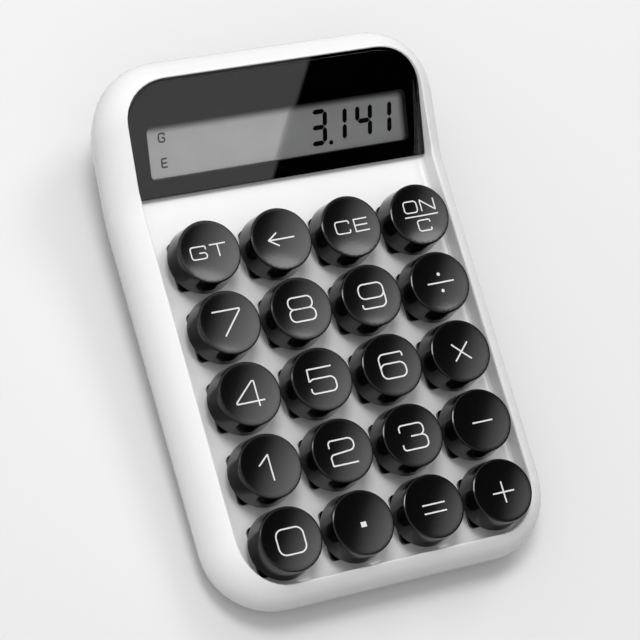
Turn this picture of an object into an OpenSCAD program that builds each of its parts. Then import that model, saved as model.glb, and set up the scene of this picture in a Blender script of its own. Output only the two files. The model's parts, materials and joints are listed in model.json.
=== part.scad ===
// Desk calculator with round keys on mechanical switches, a raised display and a wedge-shaped case.
// Millimetres. +X to the right, +Y towards the display, +Z up. The feet stand on z = 0.

/* [Case] */
// Overall width
case_w = 115.6; // [113:0.2:124]
// Overall length
case_l = 171.2; // [169:0.2:182]
// Radius of the outside corners, seen from above
corner_r = 22; // [20:0.5:26]
// Radius of the round side wall
side_r = 14.4; // [13.6:0.2:15.6]
// Angle up the round wall at which the rim's crest lies, on the front
crest_front = 48; // [45:1:52]
// The same angle on the two sides
crest_side = 60; // [57:1:63]
// The same angle at the back
crest_rear = 71; // [68:1:74]
// Thickness of the case walls
wall = 2.2; // [1.8:0.1:2.4]
// Inward lean of the lower wall, as a share of its height
undercut = 0.36; // [0.3:0.01:0.4]
// Height of the joint between the two case halves
parting_z = 6; // [5.6:0.1:6.6]
// Height of the rubber feet below the case
foot_h = 1.2; // [0.8:0.1:1.6]
// Diameter of a rubber foot
foot_d = 9; // [7:0.5:10]

/* [Key deck] */
// Tilt of the key deck
deck_tilt = 4.5; // [3.8:0.1:5]
// Height of the deck over the table at the middle of the keys
deck_z = 18.8; // [18.4:0.1:21]
// Distance from the front of the case to the middle of the front keys
key_front = 17.84; // [17.4:0.02:19]
// Distance from the middle of the back keys to the window
key_rear = 22.84; // [21:0.02:24]
// Distance from the side of the case to the middle of the outer keys
key_side = 21.8; // [21:0.1:22.8]
// Thickness of the deck
deck_t = 2; // [1.6:0.1:2.4]
// Height of the rim above the deck
rim_h = 6.7; // [6:0.1:7.4]
// Fillet at the foot of the rim
deck_fillet = 1.8; // [1:0.1:1.9]

/* [Display] */
// Distance from the window's lower edge to the back of the case
window_depth = 40.8; // [39:0.1:43]
// Distance from the bend in the rim to the window's lower edge
bend_lead = 2.6; // [1.6:0.1:3.4]
// Tilt of the rim beside the display
rim_tilt = 20.8; // [19.5:0.1:22]
// Thickness of the window
window_t = 2; // [1.6:0.1:2.2]
// Depth of the window's upper edge below the rim
window_sink = 0.1; // [0:0.1:0.6]
// Distance from the window's side to the opening over the liquid crystal cell
lcd_side = 5.3; // [5:0.1:9]
// Distance from the middle of the window to the middle of that opening, to the right
lcd_shift = 1; // [-1:0.1:1.2]
// Height of that opening
lcd_view_h = 16.8; // [13:0.2:18]
// Distance from the window's lower edge to that opening
lcd_view_y = 5.1; // [4.8:0.1:7]
// Thickness of the liquid crystal cell
lcd_t = 2.8; // [2:0.1:3]

/* [Keys] */
// Gap between the skirts of neighbouring keys
key_gap = 1.1; // [0.8:0.1:2.4]
// Step in from a key's skirt to the edge of its top
cap_draft = 0.7; // [0.4:0.05:1]
// Height of a key's top above the deck
cap_top_z = 13.4; // [13:0.1:14.4]
// Depth of the dish in a key's top
cap_dish = 0.5; // [0.2:0.1:0.8]
// Wall of a key cap
cap_wall = 1.3; // [1:0.1:1.6]
// Travel of a key
key_travel = 3.5; // [2.5:0.1:3.8]

/* [Switches] */
// Side of the switch flange that rests on the deck
flange_w = 15.6; // [15.2:0.1:16]
// Thickness of that flange
flange_t = 1.2; // [1:0.1:1.4]
// Side of the switch body, which fits the hole in the deck
switch_w = 13.9; // [13.6:0.1:14.2]
// Depth of the switch body below the deck
switch_depth = 5; // [4.6:0.1:5.4]
// Height of the upper housing above the deck
housing_h = 5.4; // [5.2:0.1:5.8]

/* [Electronics] */
// Thickness of the circuit boards
board_t = 1.6; // [1.2:0.1:1.8]
// Diameter of a battery
battery_d = 10.4; // [9.6:0.1:10.5]
// Length of a battery with its tip
battery_l = 44.5; // [43:0.1:45]

/* [Hidden] */
$fn = 48;
running = 0.3;   // gap between pieces that move past each other
seat = 0.05;     // gap between pieces that rest on each other
KEYS = [
  "grand_total", "backspace", "clear_entry", "on_clear",
  "seven", "eight", "nine", "divide",
  "four", "five", "six", "multiply",
  "one", "two", "three", "minus",
  "zero", "point", "equals", "plus",
];
COLUMNS = 4;
ROWS = 5;

// Keys: the grid fills the deck between the case's front and sides and the window
window_foot_y = case_l / 2 - window_depth;
key_pitch_x = (case_w - 2 * key_side) / (COLUMNS - 1);
key_pitch_y = (case_l - window_depth - key_front - key_rear) / (ROWS - 1) / cos(deck_tilt);
keys_y = key_front + (ROWS - 1) / 2 * key_pitch_y * cos(deck_tilt);   // case front to the grid's middle
grid_y = keys_y - case_l / 2;
cap_skirt_d = min(key_pitch_x, key_pitch_y) - key_gap;
cap_top_d = cap_skirt_d - 2 * cap_draft;

// Case: heights as functions of y
rim_bend_y = window_foot_y - bend_lead;
bend_half = 4;
function deck_at(y) = deck_z + (y - grid_y) * tan(deck_tilt);
function bend_ramp(u) = u < -bend_half ? 0 : u > bend_half ? u : pow(u + bend_half, 2) / (4 * bend_half);
function crest_at(y) = deck_at(y) + rim_h + (tan(rim_tilt) - tan(deck_tilt)) * bend_ramp(y - rim_bend_y);

// Case: angle and inset of the crest for a wall that faces along ny
function crest_angle(ny) = crest_side + ((ny < 0 ? crest_front : crest_rear) - crest_side) * ny * ny;
function crest_inset(ny) = side_r * (1 - cos(crest_angle(ny)));
rim_inner = 0.8;      // step from the crest in to the foot of the rim's inner face, beside the keys
display_step = 0.35;  // the same step round the display
rear_crest_y = case_l / 2 - crest_inset(1);
window_rise = 1.15 * window_t;   // height of the tilted window's edge
window_slope = (crest_at(rear_crest_y) - window_sink - window_rise - deck_at(window_foot_y))
  / (rear_crest_y - display_step - window_foot_y);
window_tilt = atan(window_slope);
function floor_at(y) = deck_at(min(y, window_foot_y)) + max(0, y - window_foot_y) * window_slope;
function step_at(y) = y < window_foot_y - 1 ? rim_inner : display_step;
function fillet_at(y) = y < window_foot_y - 1 ? deck_fillet : 0.4;
function ledge_at(y) = y < window_foot_y - 1 ? 0.6 : 3;   // flat inner ledge of the rim, fused to the floor

// Case: stations round the outline, each [x, y, outward nx, ny]
corner_steps = 10;
corner_x = case_w / 2 - corner_r;
corner_y = case_l / 2 - corner_r;
side_rows = [rim_bend_y - bend_half, rim_bend_y, window_foot_y, rim_bend_y + bend_half];
function corner(sx, sy, start) = [
  for (i = [0:corner_steps]) let (a = start + 90 * i / corner_steps)
    [sx * corner_x + corner_r * cos(a), sy * corner_y + corner_r * sin(a), cos(a), sin(a)]
];
stations = concat(
  corner(1, 1, 0), corner(-1, 1, 90),
  [for (i = [len(side_rows) - 1:-1:0]) [-case_w / 2, side_rows[i], -1, 0]],
  corner(-1, -1, 180), corner(1, -1, 270),
  [for (y = side_rows) [case_w / 2, y, 1, 0]]
);
function inside(s, inset) = [s[0] - s[2] * inset, s[1] - s[3] * inset];
function crest_y(s) = s[1] - s[3] * crest_inset(s[3]);
function crest_z(s) = crest_at(crest_y(s));
function waist_z(s) = crest_z(s) - side_r * sin(crest_angle(s[3]));
function lean(s) = undercut * (waist_z(s) - parting_z);

// Points of one ring at an inset, with a height above the floor of the recess or at a given z
function on_floor(inset_of, up) = [
  for (s = stations) let (p = inside(s, inset_of(s))) [p[0], p[1], floor_at(p[1]) + up(s)]
];
function ring(inset_of, z_of) = [
  for (s = stations) let (p = inside(s, inset_of(s))) [p[0], p[1], z_of(s)]
];
inner_inset = function (s) crest_inset(s[3]) + step_at(s[1]);
ledge_inset = function (s) inner_inset(s) + fillet_at(s[1]) + ledge_at(s[1]);

fillet_turns = [90, 62, 36, 0];
arc_shares = [1, 0.8, 0.6, 0.4, 0.2, 0];
wall_shares = [0.25, 0.5, 0.75, 1];
inner_shares = [1, 0.75, 0.5, 0.25, 0];
crest_round = [[0.8, 0.9], [0.5, 0.28], [0.06, 0.03]];   // rim edge: shares of the step, in and down
crest_gap = 4;      // degrees of arc given up to the rounded crest
hollow_gap = 15;    // degrees between the crest and the top of the hollow behind the rim
lean_power = 1.6;   // shape of the lower wall's curve
shell_rings = concat(
  [on_floor(ledge_inset, function (s) 0)],
  [for (t = fillet_turns) on_floor(
    function (s) inner_inset(s) + fillet_at(s[1]) * (1 - cos(t)),
    function (s) fillet_at(s[1]) * (1 - sin(t)))],
  [for (c = crest_round) ring(
    function (s) crest_inset(s[3]) + c[0] * step_at(s[1]),
    function (s) crest_z(s) - c[1] * step_at(s[1]))],
  [for (k = arc_shares) ring(
    function (s) side_r * (1 - cos(k * (crest_angle(s[3]) - crest_gap))),
    function (s) waist_z(s) + side_r * sin(k * (crest_angle(s[3]) - crest_gap)))],
  [for (k = wall_shares) ring(
    function (s) lean(s) * pow(k, lean_power),
    function (s) waist_z(s) - (waist_z(s) - parting_z) * k)],
  [for (k = inner_shares) ring(
    function (s) lean(s) * pow(k, lean_power) + wall,
    function (s) waist_z(s) - (waist_z(s) - parting_z) * k)],
  [for (k = [0.5, 1]) ring(
    function (s) side_r - (side_r - wall) * cos(k * (crest_angle(s[3]) - hollow_gap)),
    function (s) waist_z(s) + (side_r - wall) * sin(k * (crest_angle(s[3]) - hollow_gap)))],
  [on_floor(function (s) inner_inset(s) - wall, function (s) -deck_t)],
  [on_floor(ledge_inset, function (s) -deck_t)]
);

// Faces between the rings of a shell, each ring to the next
count = len(stations);
function bands(levels) = [
  for (k = [0:levels - 2], i = [0:count - 1]) let (j = (i + 1) % count)
    each [[k * count + i, k * count + j, (k + 1) * count + j],
          [k * count + i, (k + 1) * count + j, (k + 1) * count + i]]
];
function reversed(v) = [for (i = [len(v) - 1:-1:0]) v[i]];

// The rim: a closed ring, with the last row of points joined to the first
module rim_ring() {
  levels = len(shell_rings);
  polyhedron(
    points = [for (r = shell_rings) each r],
    faces = [for (f = bands(levels + 1)) [for (i = f) i % (levels * count)]],
    convexity = 8
  );
}

// Frames: the key deck and the display floor, each with its surface at z = 0
module on_deck() {
  translate([0, grid_y, deck_z]) rotate([deck_tilt, 0, 0]) children();
}
module on_display() {
  translate([0, window_foot_y, deck_at(window_foot_y)]) rotate([window_tilt, 0, 0]) children();
}
function key_x(i) = (i % COLUMNS - (COLUMNS - 1) / 2) * key_pitch_x;
function key_y(i) = ((ROWS - 1) / 2 - floor(i / COLUMNS)) * key_pitch_y;
module at_key(i) {
  on_deck() translate([key_x(i), key_y(i), 0]) children();
}
module at_keys() {
  for (i = [0:len(KEYS) - 1]) at_key(i) children();
}
module block(w, l, z0, z1) {
  translate([-w / 2, -l / 2, z0]) cube([w, l, z1 - z0]);
}
module rounded_block(w, l, r, z0, z1) {
  translate([0, 0, z0]) linear_extrude(z1 - z0) rounded_rect(w, l, r);
}
module rounded_rect(w, l, r) {
  square([w - 2 * r, l], center = true);
  square([w, l - 2 * r], center = true);
  for (sx = [-1, 1], sy = [-1, 1]) translate([sx * (w / 2 - r), sy * (l / 2 - r)]) circle(r);
}

// Fasteners: case screws in posts between the front keys and before the window, board screws between keys
post_d = 6.4;
post_side = 15.8;    // from the case's side to the rear posts
post_room = 0.6;     // from the window's lower edge to the rear posts
post_front_y = grid_y - 1.5 * key_pitch_y * cos(deck_tilt) + switch_depth * sin(deck_tilt);
post_rear_y = window_foot_y - post_room - post_d / 2;
screw_d = 2.5;
screw_head_d = 4.6;
screw_head_h = 1.8;
screw_grip = 7;      // length of the screw in its post
post_z = parting_z + 0.6;
POSTS = [for (sx = [-1, 1]) each [
  [sx * key_pitch_x, post_front_y],
  [sx * (case_w / 2 - post_side), post_rear_y]
]];
board_screw_d = 2;
board_head_d = 3.8;
board_head_h = 1.2;
board_grip = 3;      // length of the screw in its boss
board_boss_d = 5;
BOARD_BOSSES = [for (sx = [-1, 1], row = [-0.5, 1.5]) [sx * key_pitch_x, row * key_pitch_y]];
board_z = -switch_depth - seat;   // top of the main board, from the deck

// Floors of the recess: flat plates that run into the rim's ledge
floor_skin = 0.02;      // step between a plate and the ledge's faces
deck_half_w = case_w / 2 - crest_inset(0) - rim_inner - deck_fillet / 2;
deck_front = (crest_inset(-1) + rim_inner + deck_fillet / 2 - keys_y) / cos(deck_tilt);
deck_rear = (window_foot_y - grid_y + deck_t / 4) / cos(deck_tilt);
deck_corner = corner_r - crest_inset(-0.7) - rim_inner - deck_fillet / 2;
floor_root = 0.3;       // depth of the display plate's edge in the rim
display_half_w = case_w / 2 - crest_inset(0) - display_step + floor_root;
display_rear = (rear_crest_y - display_step + floor_root - window_foot_y) / cos(window_tilt);
display_corner = corner_r - crest_inset(0.7) - display_step;
module deck_plate() {
  on_deck() translate([0, 0, floor_skin - deck_t * cos(deck_tilt)])
    linear_extrude(deck_t * cos(deck_tilt) - 2 * floor_skin) {
      translate([-deck_half_w, deck_front + deck_corner])
        square([2 * deck_half_w, deck_rear - deck_front - deck_corner]);
      translate([deck_corner - deck_half_w, deck_front])
        square([2 * (deck_half_w - deck_corner), 2 * deck_corner]);
      for (sx = [-1, 1])
        translate([sx * (deck_half_w - deck_corner), deck_front + deck_corner]) circle(deck_corner);
    }
}
module display_plate() {
  start = -0.75 * deck_t;
  on_display() translate([0, 0, floor_skin - deck_t * cos(window_tilt)])
    linear_extrude(deck_t * cos(window_tilt) - 2 * floor_skin) {
      translate([-display_half_w, start])
        square([2 * display_half_w, display_rear - display_corner - start]);
      translate([display_corner - display_half_w, display_rear - 2 * display_corner])
        square([2 * (display_half_w - display_corner), 2 * display_corner]);
      for (sx = [-1, 1])
        translate([sx * (display_half_w - display_corner), display_rear - display_corner])
          circle(display_corner);
    }
}

module top_case() {
  color("white") difference() {
    union() {
      rim_ring();
      deck_plate();
      display_plate();
      for (p = POSTS)
        translate([p[0], p[1], post_z])
          cylinder(d = post_d, h = floor_at(p[1]) - deck_t / 2 - post_z);
      on_deck() for (p = BOARD_BOSSES)
        translate([p[0], p[1], board_z + seat])
          cylinder(d = board_boss_d, h = switch_depth - deck_t / 2);
    }
    at_keys() block(switch_w + 2 * seat, switch_w + 2 * seat, -3 * deck_t, 3 * deck_t);
    for (p = POSTS)
      translate([p[0], p[1], post_z - 1])
        cylinder(d = screw_d + 2 * seat, h = screw_grip + 1.5);
    on_deck() for (p = BOARD_BOSSES)
      translate([p[0], p[1], board_z - 1])
        cylinder(d = board_screw_d + 2 * seat, h = switch_depth);
    on_display() translate([lcd_shift, lcd_mid, 0])
      rounded_block(lcd_view_w, lcd_view_h, lcd_view_r, -3 * deck_t, deck_t);
  }
}

// Lower case half: a tray with a lip inside the upper half's wall
tray_gap = 0.1;
lip_h = 1.5;
lip_t = 1.2;
tray_curve = [[5, 0], [3, 0.5], [1.3, 1.7], [0.3, 3.3]];   // rounded lower edge: inset and height
tray_floor_inset = 6.5;
tray_top = parting_z - tray_gap;
tray_rings = concat(
  [for (c = tray_curve) ring(
    function (s) lean(s) + c[0],
    function (s) foot_h + c[1] * (tray_top - foot_h) / 4.7)],
  [ring(function (s) lean(s), function (s) tray_top)],
  [ring(function (s) lean(s) + wall + running, function (s) tray_top)],
  [ring(function (s) lean(s) + wall + running, function (s) parting_z + lip_h)],
  [ring(function (s) lean(s) + wall + running + lip_t, function (s) parting_z + lip_h)],
  [ring(function (s) lean(s) + wall + running + lip_t, function (s) foot_h + wall + 1.5)],
  [ring(function (s) lean(s) + tray_floor_inset, function (s) foot_h + wall)]
);
module tray() {
  levels = len(tray_rings);
  polyhedron(
    points = [for (r = tray_rings) each r],
    faces = concat(
      [[for (i = [0:count - 1]) i]],
      [for (f = bands(levels)) reversed(f)],
      [[for (i = [count - 1:-1:0]) (levels - 1) * count + i]]
    ),
    convexity = 6
  );
}

// Battery bay: two cells side by side across the case, under the display
battery_gap = 0.4;
contact_room = 5.2;     // space for a contact at each end
bay_wall = 1.4;
bay_l = battery_l + 2 * contact_room;
bay_w = 2 * battery_d + 3 * battery_gap;
bay_back = 29.3;        // from the back of the case to the middle of the bay
bay_y = case_l / 2 - bay_back;
door_t = 1.6;
door_rim = 1.6;         // width of the ledge that the door closes on
door_play = 0.25;
door_w = bay_l + 2 * door_rim;
door_l = bay_w + 2 * door_rim;
door_r = 2.5;
grip_d = 1;             // grooves of the door's grip
grip_l = 22;
grip_step = 2.4;
grip_edge = 4;
cell_z = foot_h + door_t + door_play + 0.2 + battery_d / 2;
bay_top = cell_z + battery_d / 2 + battery_gap;
function cell_y(side) = bay_y + side * (battery_d + battery_gap) / 2;
counterbore_h = 2.6;
foot_room = 3.05;       // from the bay's wall to a foot
foot_end = 23.6;        // from the case's front and back to the middle of a foot
foot_x = door_w / 2 + bay_wall + foot_room + foot_d / 2;
FEET = [for (sx = [-1, 1], sy = [-1, 1]) [sx * foot_x, sy * (case_l / 2 - foot_end)]];
foot_seat = 0.4;
foot_edge = 0.4;        // bevel round a foot's sole

module bottom_case() {
  inner_floor = foot_h + wall / 2;
  door_top = foot_h + door_t + door_play;
  color("white") difference() {
    union() {
      tray();
      translate([0, bay_y, 0]) {
        block(bay_l + 2 * bay_wall, bay_w + 2 * bay_wall, inner_floor, bay_top + bay_wall);
        block(door_w + 2 * bay_wall, door_l + 2 * bay_wall, inner_floor, door_top + bay_wall);
      }
      for (p = POSTS)
        translate([p[0], p[1], inner_floor]) cylinder(d = post_d, h = post_z - seat - inner_floor);
    }
    translate([0, bay_y, 0]) {
      block(bay_l, bay_w, 0, bay_top);
      rounded_block(door_w + 2 * door_play, door_l + 2 * door_play, door_r, 0, door_top);
    }
    for (p = POSTS) translate([p[0], p[1], 0]) {
      cylinder(d = screw_d + 4 * seat, h = post_z + 1);
      cylinder(d = screw_head_d + 8 * seat, h = foot_h + counterbore_h);
    }
    for (p = FEET)
      translate([p[0], p[1], 0]) cylinder(d = foot_d + 4 * seat, h = foot_h + foot_seat + seat);
  }
}

module battery_door() {
  grip_n = 5;
  color("white") difference() {
    translate([0, bay_y, 0]) rounded_block(door_w, door_l, door_r, foot_h, foot_h + door_t);
    for (i = [0:grip_n - 1])
      translate([0, bay_y + door_l / 2 - grip_edge - i * grip_step, foot_h]) rotate([0, 90, 0])
        cylinder(d = grip_d, h = grip_l, center = true);
  }
}

// Display: window, liquid crystal cell, its holder and board
window_play = 0.12;
window_w = case_w - 2 * crest_inset(0) - 2 * display_step - 2 * window_play;
lcd_z = -deck_t * cos(window_tilt) - seat;   // top of the cell, from the display floor
lcd_view_w = window_w - 2 * lcd_side;
lcd_view_r = 2;        // corner radius of the opening
lcd_border_x = 2;      // border of the cell beside and before its opening
lcd_border_y = 3;
lcd_w = lcd_view_w + 2 * lcd_border_x;
lcd_l = lcd_view_h + 2 * lcd_border_y;
lcd_mid = lcd_view_y + lcd_view_h / 2;
holder_wall = 1.4;
zebra_h = 1.8;
zebra_w = 2;
display_board_z = lcd_z - lcd_t - zebra_h - 2 * seat;
display_board_t = 1.2;

module display_window() {
  color("#151515") intersection() {
    on_display() translate([-window_w / 2, window_play, seat]) cube([window_w, 2 * window_depth, window_t]);
    linear_extrude(2 * crest_at(rear_crest_y))
      polygon([for (s = stations) inside(s, inner_inset(s) + window_play)]);
  }
}

module lcd_panel() {
  color("#8f958f") on_display() translate([lcd_shift, lcd_mid, 0]) block(lcd_w, lcd_l, lcd_z - lcd_t, lcd_z);
}

module lcd_holder() {
  color("#2a2a2a") on_display() translate([lcd_shift, lcd_mid, 0]) difference() {
    block(lcd_w + 2 * holder_wall, lcd_l + 2 * holder_wall, display_board_z + seat, lcd_z);
    block(lcd_w + 4 * seat, lcd_l + 4 * seat, display_board_z - 1, lcd_z + 1);
  }
}

module zebra_strips() {
  color("#d88a9a") on_display() for (s = [-1, 1])
    translate([lcd_shift, lcd_mid + s * (lcd_l / 2 - zebra_w), 0])
      block(lcd_w - 8, zebra_w, display_board_z + seat, lcd_z - lcd_t - seat);
}

module display_board() {
  color("#1d5a34") on_display() translate([lcd_shift, lcd_mid, 0])
    block(
      lcd_w + 2 * holder_wall,
      lcd_l + 2 * holder_wall,
      display_board_z - display_board_t,
      display_board_z
    );
}

// Main board: under the deck, notched round the case posts
board_w = (COLUMNS - 1) * key_pitch_x + 16;
board_l = (ROWS - 1) * key_pitch_y + 20;
spigot_d = 4;
pin_d = 0.9;
PINS = [[-3.81, 2.54], [2.54, 4.4]];
module main_board() {
  color("#1d5a34") difference() {
    on_deck() block(board_w, board_l, board_z - board_t, board_z);
    for (p = POSTS) translate([p[0], p[1], 0]) cylinder(d = post_d + 4 * running, h = deck_z);
    at_keys() {
      translate([0, 0, -2 * switch_depth]) cylinder(d = spigot_d + 4 * seat, h = 2 * switch_depth);
      for (p = PINS)
        translate([p[0], p[1], -2 * switch_depth]) cylinder(d = pin_d + 4 * seat, h = 2 * switch_depth);
    }
    on_deck() for (p = BOARD_BOSSES)
      translate([p[0], p[1], board_z - 2 * board_t])
        cylinder(d = board_screw_d + 4 * seat, h = 3 * board_t);
  }
}

module controller_chip() {
  chip_w = 9;
  chip_t = 1.4;
  color("#202020") on_deck() translate([0, key_pitch_y / 2, 0])
    block(chip_w, chip_w, board_z - board_t - seat - chip_t, board_z - board_t - seat);
}

// Flat cable from the display board down to the main board, drawn in the y-z plane
ribbon_w = 24;
ribbon_t = 0.3;
ribbon_tab = 3;      // length of each soldered end
ribbon_lead = 1.5;   // from the edge of the display board to the bend
function deck_point(y, z) = [
  grid_y + y * cos(deck_tilt) - z * sin(deck_tilt),
  deck_z + y * sin(deck_tilt) + z * cos(deck_tilt)
];
function display_point(y, z) = [
  window_foot_y + y * cos(window_tilt) - z * sin(window_tilt),
  deck_at(window_foot_y) + y * sin(window_tilt) + z * cos(window_tilt)
];
module ribbon_cable() {
  on_board = board_z + seat;
  under_display = display_board_z - display_board_t - seat - ribbon_t;
  edge = lcd_mid - lcd_l / 2 - holder_wall;
  lower = [
    deck_point(board_l / 2 - ribbon_tab, on_board),
    deck_point(board_l / 2, on_board),
    display_point(edge - ribbon_lead, under_display),
    display_point(edge + ribbon_tab, under_display),
  ];
  upper = [
    deck_point(board_l / 2 - ribbon_tab, on_board + ribbon_t),
    deck_point(board_l / 2, on_board + ribbon_t),
    display_point(edge - ribbon_lead, under_display + ribbon_t),
    display_point(edge + ribbon_tab, under_display + ribbon_t),
  ];
  color("#c98d3a") rotate([90, 0, 90]) translate([0, 0, -ribbon_w / 2]) linear_extrude(ribbon_w)
    polygon(concat(lower, reversed(upper)));
}

// Switches: lower and upper housings, spring, contacts and the sliding stem
cavity_w = 10.4;
switch_floor = 1;
well_d = 2.8;
pole_d = 2.2;
spigot_l = 3.3;
slider_w = 6.6;
slider_l = 5.8;
stop_w = 8.4;
stop_l = 7.6;
stop_t = 1.1;
housing_top_t = 1;
housing_wall = 0.9;   // least wall of the upper housing
stop_z = housing_h - housing_top_t - running - stop_t;   // underside of the stem's stop at rest
spring_id = 3.2;
spring_od = 4.6;
spring_foot = -switch_depth + switch_floor;

module switch_lower_housings() {
  color("#161616") at_keys() difference() {
    union() {
      block(switch_w, switch_w, -switch_depth, flange_t / 2);
      rounded_block(flange_w, flange_w, 1.5, 0, flange_t);
      translate([0, 0, -switch_depth - spigot_l]) cylinder(d = spigot_d, h = spigot_l + switch_floor);
    }
    block(cavity_w, cavity_w, spring_foot, 2 * flange_t);
    translate([0, 0, -switch_depth - spigot_l + 0.3]) cylinder(d = well_d, h = 2 * spigot_l);
    for (p = PINS)
      translate([p[0], p[1], -2 * switch_depth]) cylinder(d = pin_d + 4 * seat, h = 2 * switch_depth);
  }
}

// Key cap: heights, and the radius of its bore at height z at rest
cap_ceiling = cap_top_z - cap_dish - cap_wall;
skirt_z = flange_t + key_travel + running;
skirt_bore = cap_skirt_d / 2 - cap_wall;
ceiling_bore = cap_top_d / 2 - cap_wall - 0.4;
function cap_bore(z) = skirt_bore + (ceiling_bore - skirt_bore) * (z - skirt_z) / (cap_ceiling - skirt_z);

// Space inside a pressed cap, less a gap
module pressed_bore(gap) {
  top_z = 2 * housing_h;
  cylinder(r1 = cap_bore(key_travel) - gap, r2 = cap_bore(top_z + key_travel) - gap, h = top_z);
}
module housing_side(foot_w, top_w, deep) {
  rotate([90, 0, 0]) translate([0, 0, -deep / 2]) linear_extrude(deep)
    polygon([
      [-foot_w / 2, flange_t],
      [foot_w / 2, flange_t],
      [top_w / 2, housing_h],
      [-top_w / 2, housing_h]
    ]);
}
module switch_upper_housings() {
  foot_w = flange_w - 1;
  color("#1b1b1b") at_keys() translate([0, 0, seat]) difference() {
    intersection() {
      housing_side(foot_w, foot_w - 3.6, flange_w);
      rotate([0, 0, 90]) housing_side(foot_w, foot_w - 2.8, flange_w);
      pressed_bore(running);
    }
    intersection() {
      block(cavity_w, cavity_w, 0, housing_h - housing_top_t - seat);
      pressed_bore(running + housing_wall);
    }
    block(slider_w + 2 * running, slider_l + 2 * running, 0, 2 * housing_h);
  }
}

module switch_springs() {
  color("silver") at_keys() translate([0, 0, spring_foot + seat]) difference() {
    cylinder(d = spring_od, h = stop_z - spring_foot - 2 * seat);
    translate([0, 0, -1]) cylinder(d = spring_id, h = 4 * switch_depth);
  }
}

module switch_contacts() {
  blade = [0.4, 2.4, 2.6];
  color("#b98a45") at_keys() for (p = PINS) translate([p[0], p[1], 0]) {
    translate([0, 0, -switch_depth - spigot_l + 0.4])
      cylinder(d = pin_d, h = spigot_l + switch_floor, $fn = 24);
    translate([-blade[0] / 2, -blade[1] / 2 - 0.8, spring_foot + seat]) cube(blade);
  }
}

cross = [4, 1.2];        // the stem's cross: span and thickness
cross_h = 3.4;
boss_d = 5.4;
cross_top = cap_ceiling - 0.2;
shoulder_z = cross_top - cross_h;
module stem(i) {
  pole_end = -switch_depth - spigot_l + key_travel + running + 0.4;
  color("#7a4a2a") at_key(i) {
    block(slider_w, slider_l, stop_z, shoulder_z);
    block(stop_w, stop_l, stop_z, stop_z + stop_t);
    translate([0, 0, pole_end]) cylinder(d = pole_d, h = stop_z - pole_end + stop_t / 2);
    block(cross[0], cross[1], shoulder_z - 1, cross_top);
    block(cross[1], cross[0], shoulder_z - 1, cross_top);
  }
}

// Key cap: a round tapered cup with a dished top, soft edge and cross socket
dish_steps = 6;
module cap(i) {
  top_r = cap_top_d / 2;
  skirt_r = cap_skirt_d / 2;
  edge = 0.45;
  dish_r = top_r - edge - 0.25;
  fit = 2 * seat;
  color("#141414") at_key(i) difference() {
    union() {
      rotate_extrude($fn = 72) polygon(concat(
        [[0, cap_ceiling], [ceiling_bore, cap_ceiling], [skirt_bore, skirt_z]],
        [[skirt_r, skirt_z], [top_r, cap_top_z - edge]],
        [[top_r - 0.3 * edge, cap_top_z - 0.3 * edge], [top_r - edge, cap_top_z]],
        [for (k = [dish_steps:-1:0]) let (u = k / dish_steps)
          [dish_r * u, cap_top_z - cap_dish * (1 - u * u)]]
      ));
      translate([0, 0, shoulder_z + seat]) cylinder(d = boss_d, h = cap_ceiling - shoulder_z);
    }
    block(cross[0] + fit, cross[1] + fit, 0, cross_top + seat);
    block(cross[1] + fit, cross[0] + fit, 0, cross_top + seat);
  }
}

// Power: cells and their contacts
cell_tip = 1;
cell_tip_d = 3.6;
plate_t = 0.6;       // contact plates
plate_w = 8;
plate_h = 7;
coil_d = 6;          // coil on the flat end of a cell
coil_id = 4.6;
stud_d = 4;          // stud on the tip of a cell
module batteries() {
  color("#3f6f8f") for (s = [-1, 1])
    translate([-s * battery_l / 2, cell_y(s), cell_z]) rotate([0, s * 90, 0]) {
      cylinder(d = battery_d, h = battery_l - cell_tip);
      cylinder(d = cell_tip_d, h = battery_l);
    }
}
module battery_contacts() {
  plate_x = bay_l / 2 - seat - plate_t / 2;
  reach = plate_x - battery_l / 2 - seat;
  color("silver") for (s = [-1, 1]) {
    for (e = [-1, 1])
      translate([e * plate_x, cell_y(s), cell_z]) cube([plate_t, plate_w, plate_h], center = true);
    translate([-s * plate_x, cell_y(s), cell_z]) rotate([0, s * 90, 0]) difference() {
      cylinder(d = coil_d, h = reach);
      translate([0, 0, plate_t]) cylinder(d = coil_id, h = 2 * reach);
    }
    translate([s * plate_x, cell_y(s), cell_z]) rotate([0, -s * 90, 0]) cylinder(d = stud_d, h = reach);
  }
}

module rubber_feet() {
  color("#303030") for (p = FEET) translate([p[0], p[1], 0]) {
    cylinder(d1 = foot_d - 2 * foot_edge, d2 = foot_d, h = foot_edge);
    translate([0, 0, foot_edge]) cylinder(d = foot_d, h = foot_h + foot_seat - foot_edge);
  }
}

module screw(d, head_d, head_h, length) {
  difference() {
    union() {
      cylinder(d = head_d, h = head_h);
      cylinder(d = d, h = head_h + length);
    }
    for (a = [0, 90]) rotate([0, 0, a]) block(0.7, 2.6, -1, 0.8);
  }
}
module case_screws() {
  head_z = foot_h + counterbore_h - screw_head_h - seat;
  color("silver") for (p = POSTS) translate([p[0], p[1], head_z])
    screw(screw_d, screw_head_d, screw_head_h, post_z - head_z - screw_head_h + screw_grip);
}
module board_screws() {
  color("silver") on_deck() for (p = BOARD_BOSSES)
    translate([p[0], p[1], board_z - board_t - seat - board_head_h])
      screw(board_screw_d, board_head_d, board_head_h, board_t + board_grip);
}

top_case();
bottom_case();
battery_door();
display_window();
lcd_panel();
lcd_holder();
zebra_strips();
display_board();
ribbon_cable();
main_board();
controller_chip();
switch_lower_housings();
switch_upper_housings();
switch_springs();
switch_contacts();
batteries();
battery_contacts();
rubber_feet();
case_screws();
board_screws();
for (i = [0:len(KEYS) - 1]) cap(i);
for (i = [0:len(KEYS) - 1]) stem(i);
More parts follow.
